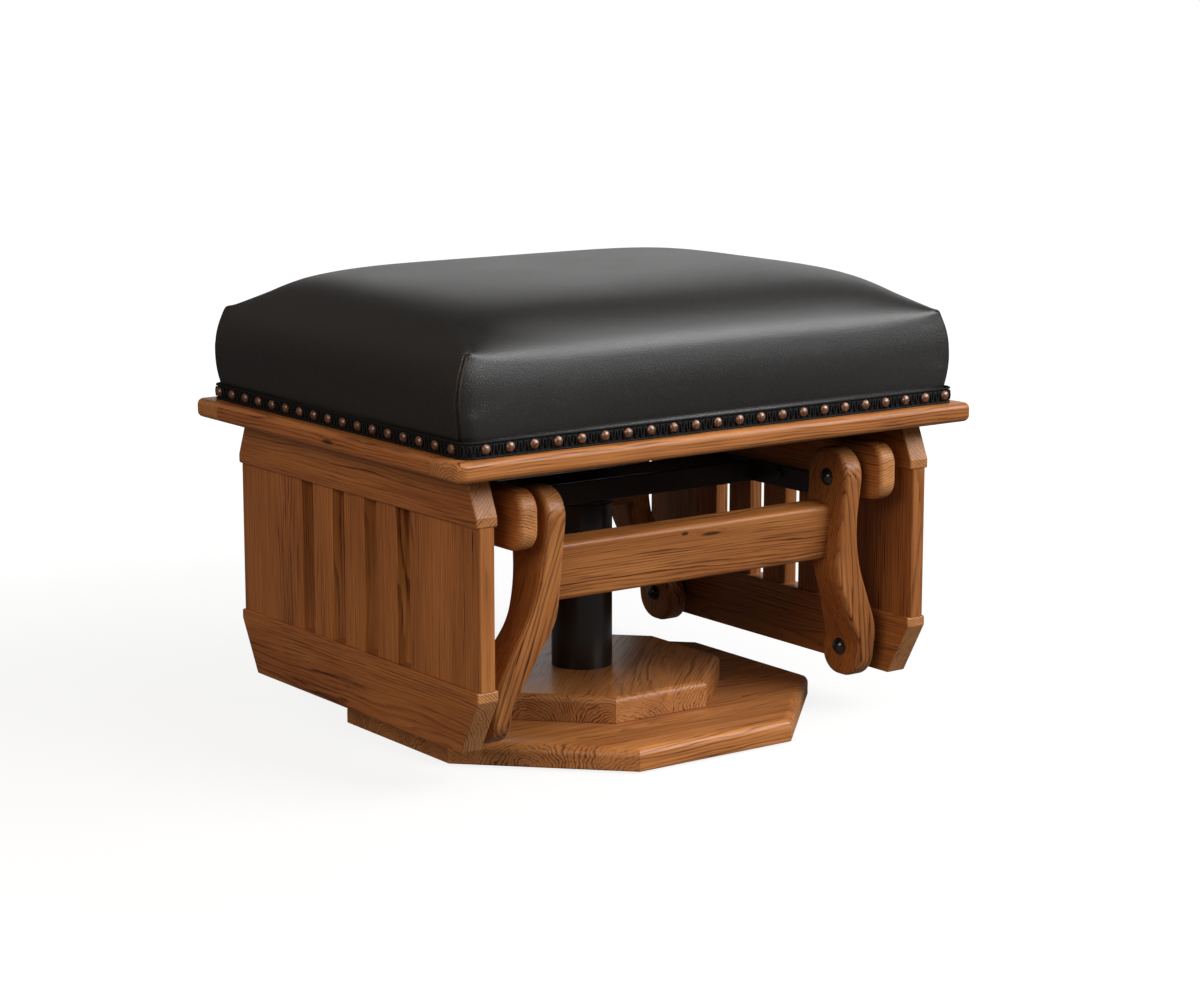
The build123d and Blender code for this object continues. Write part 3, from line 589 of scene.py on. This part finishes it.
def swell(piece, held, frames, furthest):
    """Blows a piece up as cloth: the vertices of the group held stay, and no point moves beyond furthest."""
    cloth = piece.modifiers.new("cloth", "CLOTH")
    cloth.settings.quality = 6
    cloth.settings.mass = 0.4
    cloth.settings.tension_stiffness = 30
    cloth.settings.compression_stiffness = 30
    cloth.settings.shear_stiffness = 15
    cloth.settings.bending_stiffness = 20
    cloth.settings.shrink_min = 0.03
    cloth.settings.use_pressure = True
    cloth.settings.uniform_pressure_force = 4
    cloth.settings.vertex_group_mass = held
    cloth.settings.effector_weights.gravity = 0
    cloth.point_cache.frame_end = frames
    scene = bpy.context.scene
    for number in range(1, frames + 1):
        scene.frame_set(number)
    blown = piece.evaluated_get(bpy.context.evaluated_depsgraph_get()).data
    for vertex, moved in zip(piece.data.vertices, [point.co.copy() for point in blown.vertices]):
        way = moved - vertex.co
        vertex.co = vertex.co + way * min(1.0, furthest / max(way.length, 1e-9))
    piece.modifiers.remove(cloth)
    scene.frame_set(1)


def on_seam(point):
    """True on the cube's upright edges, and for a short way along the top edge of the front and rear."""
    upright = abs(point.x) > 0.999 and abs(point.y) > 0.999
    return upright or (abs(point.y) > 0.999 and point.z > 0.999 and abs(point.x) > SEAM_HOOK)


form = bmesh.new()
bmesh.ops.create_cube(form, size=2.0)
bmesh.ops.subdivide_edges(form, edges=form.edges[:], cuts=LEATHER_CUTS, use_grid_fill=True)
for edge in form.edges:
    edge.seam = all(on_seam(vertex.co) for vertex in edge.verts)
on_cube = [vertex.co.copy() for vertex in form.verts]
for vertex in form.verts:
    vertex.co = cushion_point(vertex.co)
bmesh.ops.recalc_face_normals(form, faces=form.faces[:])
black_leather = leather()
dress("leather_cover", black_leather)
dress("foam_core", moulded("pale_foam", (0.62, 0.55, 0.36, 1)))
cushion = finish_mesh("leather_cushion", form, black_leather, "seat")
nailed = cushion.vertex_groups.new(name="nailed")
nailed.add([v.index for v in cushion.data.vertices if v.co.z < FOOT_Z + 0.004], 1.0, "REPLACE")
sewn = {index for edge in cushion.data.edges if edge.use_seam for index in edge.vertices}
nailed.add(list(sewn), 1.0, "REPLACE")
swell(cushion, "nailed", SWELL_FRAMES, SWELL_REACH)
cushion.vertex_groups.remove(nailed)


def round_the_rim(piece, rounds):
    """Eases the edge between sides and top, in a band that narrows to the middle of each edge."""
    cover = bmesh.new()
    cover.from_mesh(piece.data)
    for number in range(rounds):
        done = number / rounds
        from_corner = 0.96 - 0.45 * done
        from_middle = 0.66 + 0.28 * done
        from_foot = -0.20 + 1.05 * done
        near = []
        for vertex, place in zip(cover.verts, on_cube):
            less, more = sorted((abs(place.x), abs(place.y)))
            if less < from_corner and more > from_middle and place.z > from_foot:
                near.append(vertex)
        bmesh.ops.smooth_vert(
            cover, verts=near, factor=0.5, use_axis_x=True, use_axis_y=True, use_axis_z=True
        )
    cover.to_mesh(piece.data)
    cover.free()


def fold_in(piece, half_width, depth):
    """Splits the marked seams into a narrow strip and draws its middle in, as folded and sewn leather is."""
    cover = bmesh.new()
    cover.from_mesh(piece.data)
    seams = [edge for edge in cover.edges if edge.seam and max(v.co.z for v in edge.verts) > GIMP_TOP - 0.004]
    lines = [(edge.verts[0].co.copy(), edge.verts[1].co.copy()) for edge in seams]
    bmesh.ops.bevel(
        cover, geom=seams, offset=half_width, segments=4, profile=0.5, affect="EDGES", material=-1
    )
    cover.normal_update()
    near = [v for v in cover.verts if any((v.co - end).length < 0.012 for line in lines for end in line)]
    moves = []
    for vertex in near:
        feet = [closest_on(vertex.co, *line) for line in lines]
        foot = min(feet, key=lambda point: (point - vertex.co).length)
        away = (foot - vertex.co).length
        if away < 2.6 * half_width:
            sunk = math.cos(0.5 * math.pi * min(1.0, away / half_width)) ** 1.5
            lip = math.exp(-((away - 1.4 * half_width) / (0.6 * half_width)) ** 2)
            on_side = abs(vertex.co.y) < abs(foot.y)
            moves.append((vertex, vertex.normal * depth * (lip * (0.26 if on_side else 0.02) - sunk)))
    for vertex, move in moves:
        vertex.co += move
    cover.to_mesh(piece.data)
    cover.free()


def closest_on(point, start, end):
    """The point of a straight line piece that is nearest to a point."""
    way = end - start
    return start + way * min(1.0, max(0.0, (point - start).dot(way) / max(way.length_squared, 1e-12)))


round_the_rim(cushion, RIM_ROUNDS)
fold_in(cushion, SEAM_HALF_WIDTH, SEAM_DEPTH)
soften = cushion.modifiers.new("soft_edges", "SUBSURF")
soften.levels = soften.render_levels = 1
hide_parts("leather_cover", "foam_core")


# ---------------------------------------------------------------- gimp braid
# Black braid glued over the lower edge of the leather: a tape with a cord along each edge, and between
# them one thread that runs up and down all the way round.
GIMP_HALF = Vector((0.2918, 0.2302))
GIMP_CORNER = 0.0128
GIMP_TURNS = 624
THREAD_LOW = 0.3236
THREAD_MIDDLE = 0.3276
THREAD_HIGH = 0.3316
THREAD_RADIUS = 0.0008
CORD_LEVELS = (0.3345, 0.3209)
CORD_RADIUS = 0.00095
TAPE_FOOT = 0.3203
TAPE_HEIGHT = 0.0146
TAPE_IN = -0.0011       # behind the gimp's outer face
EDGE_STEPS = 300
GIMP_LENGTH = 4 * (GIMP_HALF.x + GIMP_HALF.y - 2 * GIMP_CORNER) + 2 * math.pi * GIMP_CORNER


def round_the_seat(along, out, z):
    """A point this far round the gimp's outer face, from the middle of the front, and this far outside it."""
    corner = GIMP_CORNER
    flats = (GIMP_HALF.x - corner, GIMP_HALF.y - corner)
    left = along % GIMP_LENGTH
    turn, centre = 0.0, Vector((0.0, -flats[1]))
    ahead = Vector((1.0, 0.0))
    for number, run in enumerate((flats[0], 2 * flats[1], 2 * flats[0], 2 * flats[1], flats[0])):
        if left <= run:
            centre += ahead * left
            break
        left -= run
        centre += ahead * run
        arc = corner * math.pi / 2
        if number < 4 and left <= arc:
            turn = left / corner
            break
        left -= arc
        ahead = Vector((-ahead.y, ahead.x))
    facing = Vector((ahead.y, -ahead.x))
    facing = facing * math.cos(turn) + ahead * math.sin(turn)
    place = centre + facing * (corner + out)
    return Vector((place.x, place.y, z))


def thread(name, points, radius):
    """A closed round thread through the points, as a mesh."""
    line = bpy.data.curves.new(name, "CURVE")
    line.dimensions = "3D"
    line.bevel_depth = radius
    line.bevel_resolution = 1
    spline = line.splines.new("POLY")
    spline.points.add(len(points) - 1)
    for knot, point in zip(spline.points, points):
        knot.co = (*point, 1.0)
    spline.use_cyclic_u = True
    holder = bpy.data.objects.new(name, line)
    mesh = bpy.data.meshes.new_from_object(holder)
    bpy.data.objects.remove(holder)
    bpy.data.curves.remove(line)
    return mesh


def gimp_yarn():
    """Black rayon yarn, twisted: paler on the crown of each thread as a painted sheen, and darker between the
    threads as painted shade.
    """
    material, bench, shader = plain_material("gimp_yarn", roughness=0.70, specular_ior_level=0.22)
    place = bench.add("TexCoord").outputs["Object"]
    parts = bench.add("SeparateXYZ", {0: place}).outputs
    run = bench.math("ADD", parts[0], parts[1])
    lay = bench.math("ADD", bench.math("MULTIPLY", run, 4200.0), bench.math("MULTIPLY", parts[2], 3600.0))
    twist = bench.step(bench.math("SINE", lay), -0.6, 0.9)
    fluff = bench.noise(place, 2200.0, 2.0).outputs["Fac"]
    height = bench.math("ADD", bench.math("MULTIPLY", twist, 0.8), bench.math("MULTIPLY", fluff, 0.4))
    # Paler on the crowns and darker in the hollows of the twist: painted sheen and painted shade
    colour = bench.mix(height, (0.0026, 0.0028, 0.0031, 1), (0.0088, 0.0096, 0.0110, 1))
    bench.tree.links.new(colour, shader.inputs["Base Color"])
    bumped(bench, shader, height, 0.6, 0.0003)
    return material


meander = []
pitch = GIMP_LENGTH / GIMP_TURNS
for number in range(GIMP_TURNS):
    start = GIMP_LENGTH * number / GIMP_TURNS
    ends = (THREAD_LOW, THREAD_HIGH) if number % 2 else (THREAD_HIGH, THREAD_LOW)
    lean = 0.0006 if number % 4 < 2 else -0.0004
    meander.append(round_the_seat(start + 0.10 * pitch, -0.0003, ends[0]))
    meander.append(round_the_seat(start + 0.30 * pitch, 0.0002, THREAD_MIDDLE + lean))
    meander.append(round_the_seat(start + 0.50 * pitch, -0.0003, ends[1]))
steps = [GIMP_LENGTH * number / EDGE_STEPS for number in range(EDGE_STEPS)]
braid = bmesh.new()
braid.from_mesh(thread("meander", meander, THREAD_RADIUS))
for level in CORD_LEVELS:
    ring = [round_the_seat(step, -0.0005, level) for step in steps]
    braid.from_mesh(thread("edge_cord", ring, CORD_RADIUS))
foot = [braid.verts.new(round_the_seat(step, TAPE_IN, TAPE_FOOT)) for step in steps]
rim = [braid.edges.new((foot[number - 1], foot[number])) for number in range(EDGE_STEPS)]
risen = bmesh.ops.extrude_edge_only(braid, edges=rim)["geom"]
lifted = [part for part in risen if isinstance(part, bmesh.types.BMVert)]
bmesh.ops.translate(braid, verts=lifted, vec=(0, 0, TAPE_HEIGHT))
bmesh.ops.recalc_face_normals(braid, faces=[part for part in risen if isinstance(part, bmesh.types.BMFace)])
yarn = gimp_yarn()
dress("gimp_trim", yarn)
gimp = finish_mesh("gimp_braid", braid, yarn, "seat")
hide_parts("gimp_trim")


# ---------------------------------------------------------------- upholstery nails
# Antique copper nails with domed heads, driven through the braid, and tarnished in dark and bright patches at
# random.
NAIL_RADIUS = 0.0047
NAIL_TALL = 0.0033
NAIL_SKIRT = 0.0008     # how far the rim goes into the braid
NAIL_Z = 0.3283
NAIL_FACE = 0.0001


def antique_copper():
    material, bench, shader = plain_material("antique_copper", metallic=0.85)
    place = bench.add("TexCoord").outputs["Object"]
    tarnish = bench.noise(place, 520.0, 3.0).outputs["Fac"]
    colour = bench.mix(bench.step(tarnish, 0.3, 0.7), (0.135, 0.070, 0.048, 1), (0.350, 0.215, 0.158, 1))
    bench.tree.links.new(colour, shader.inputs["Base Color"])
    bench.tree.links.new(bench.step(tarnish, 0.3, 0.7, 0.50, 0.40), shader.inputs["Roughness"])
    bumped(bench, shader, tarnish, 0.12, 0.0002)
    return material


dome = bmesh.new()
bmesh.ops.create_uvsphere(dome, u_segments=20, v_segments=12, radius=NAIL_RADIUS)
bmesh.ops.bisect_plane(
    dome, geom=dome.verts[:] + dome.edges[:] + dome.faces[:], plane_co=(0, 0, 0), plane_no=(0, 0, 1),
    clear_inner=True,
)
bmesh.ops.scale(dome, vec=(1, 1, NAIL_TALL / NAIL_RADIUS), verts=dome.verts[:])
open_rim = [edge for edge in dome.edges if edge.is_boundary]
skirt = bmesh.ops.extrude_edge_only(dome, edges=open_rim)["geom"]
lowered = [part for part in skirt if isinstance(part, bmesh.types.BMVert)]
bmesh.ops.translate(dome, verts=lowered, vec=(0, 0, -NAIL_SKIRT))
bmesh.ops.holes_fill(dome, edges=[edge for edge in dome.edges if edge.is_boundary])
bmesh.ops.recalc_face_normals(dome, faces=dome.faces[:])
head = bpy.data.meshes.new("nail_head")
dome.to_mesh(head)
dome.free()

heads = bmesh.new()
for facing, first, last, count, face in (
    ((0, -1), -0.2690, 0.2774, 22, GIMP_HALF.y),
    ((0, 1), -0.2774, 0.2774, 22, GIMP_HALF.y),
    ((-1, 0), -0.2134, 0.2105, 17, GIMP_HALF.x),
    ((1, 0), -0.2134, 0.2134, 17, GIMP_HALF.x),
):
    out = Vector((*facing, 0))
    along = Vector((-out.y, out.x, 0))
    turn = ALONG_Z.rotation_difference(out).to_matrix().to_4x4()
    for number in range(count):
        before = len(heads.verts)
        heads.from_mesh(head)
        heads.verts.ensure_lookup_table()
        place = out * (face + NAIL_FACE) + along * (first + (last - first) * number / (count - 1))
        place.z = NAIL_Z
        bmesh.ops.transform(heads, matrix=Matrix.Translation(place) @ turn, verts=heads.verts[before:])
copper = antique_copper()
dress("upholstery_nails", copper)
nails = finish_mesh("nail_heads", heads, copper, "seat")
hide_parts("upholstery_nails")


# ---------------------------------------------------------------- studio
# A pale floor that keeps the ottoman's shadow, a surround that is white to the camera and dim to gloss
# and to the wood, and four soft lamps as large as windows.
FLOOR_HALF = 30.0
FLOOR_GREY = 0.13
FLOOR_NEAR_WHITE = 0.86
FLOOR_IN_GLOSS = 0.02
SURROUND = 0.15
PALE_WALL = (-0.52, 0.80, 0.30)
WARM_TINT = (1.0, 0.92, 0.84, 1)

floor_form = bmesh.new()
bmesh.ops.create_grid(floor_form, x_segments=1, y_segments=1, size=FLOOR_HALF)
floor_mesh = bpy.data.meshes.new("floor")
floor_form.to_mesh(floor_mesh)
floor_form.free()
floor = bpy.data.objects.new("floor", floor_mesh)
bpy.context.scene.collection.objects.link(floor)
floor_paint, bench, shader = plain_material(
    "pale_floor", base_color=(FLOOR_GREY, FLOOR_GREY, FLOOR_GREY, 1), roughness=0.9, specular_ior_level=0.0
)
rays = bench.add("LightPath").outputs
seen = bench.math("MAXIMUM", rays["Is Camera Ray"], rays["Is Transmission Ray"])
distance = bench.length(bench.add("TexCoord").outputs["Object"])
white = bench.step(distance, 0.6, 1.6, FLOOR_NEAR_WHITE, 1.0)
glow = bench.math("MULTIPLY", seen, white)
glow = bench.math("ADD", glow, bench.math("MULTIPLY", rays["Is Glossy Ray"], FLOOR_IN_GLOSS))
bench.tree.links.new(glow, shader.inputs["Emission Strength"])
shader.inputs["Emission Color"].default_value = (1, 1, 1, 1)
floor_mesh.materials.append(floor_paint)

world = bpy.data.worlds.new("studio")
bpy.context.scene.world = world
world.use_nodes = True
air = Bench(world.node_tree)
rays = air.add("LightPath").outputs
towards = air.add("TexCoord").outputs["Generated"]
pale_wall = air.add("VectorMath", {0: towards, 1: PALE_WALL}, operation="DOT_PRODUCT").outputs["Value"]
in_gloss = air.step(pale_wall, 0.55, 0.95, 0.05, 0.20)
plain = air.step(rays["Is Glossy Ray"], 0.0, 1.0, SURROUND, in_gloss)
seen = air.math("MAXIMUM", rays["Is Camera Ray"], rays["Is Transmission Ray"])
level = air.math("MAXIMUM", plain, seen)
tint = air.mix(seen, WARM_TINT, (1, 1, 1, 1))
world.node_tree.links.new(level, world.node_tree.nodes["Background"].inputs["Strength"])
world.node_tree.links.new(tint, world.node_tree.nodes["Background"].inputs["Color"])


def window_lamp(name, place, aim, width, height, watts, tint=(1, 1, 1)):
    """A soft rectangular lamp at a place, turned to what it lights."""
    lamp = bpy.data.lights.new(name, "AREA")
    lamp.shape = "RECTANGLE"
    lamp.size, lamp.size_y = width, height
    lamp.energy = watts
    lamp.color = tint
    stand = bpy.data.objects.new(name, lamp)
    stand.location = place
    stand.rotation_euler = (Vector(aim) - Vector(place)).to_track_quat("-Z", "Y").to_euler()
    stand.visible_camera = False
    bpy.context.scene.collection.objects.link(stand)


window_lamp("front_window", (1.75, -2.05, 1.95), (0, 0, 0.3), 2.9, 1.5, 122)
window_lamp("left_window", (-2.6, -1.3, 1.5), (0, 0, 0.3), 2.0, 1.3, 39, (1.0, 0.77, 0.61))
window_lamp("top_window", (0.3, -0.9, 2.6), (0, 0, 0.3), 1.8, 1.8, 26)
window_lamp("rear_window", (1.9, 2.2, 1.3), (0, 0, 0.4), 2.2, 1.2, 10)

# The camera stands where the photograph was taken from.
CAMERA_PLACE = (-1.6567, -2.3092, 0.7527)
CAMERA_YAW = math.radians(36.03)
CAMERA_DOWN = math.radians(10.65)
CAMERA_LENS = 86.28
view = bpy.data.cameras.new("camera")
view.lens = CAMERA_LENS
view.sensor_width = 36.0
camera = bpy.data.objects.new("camera", view)
camera.location = CAMERA_PLACE
camera.rotation_euler = (math.pi / 2 - CAMERA_DOWN, 0, -CAMERA_YAW)
bpy.context.scene.collection.objects.link(camera)
bpy.context.scene.camera = camera
bpy.context.scene.view_settings.view_transform = "Standard"
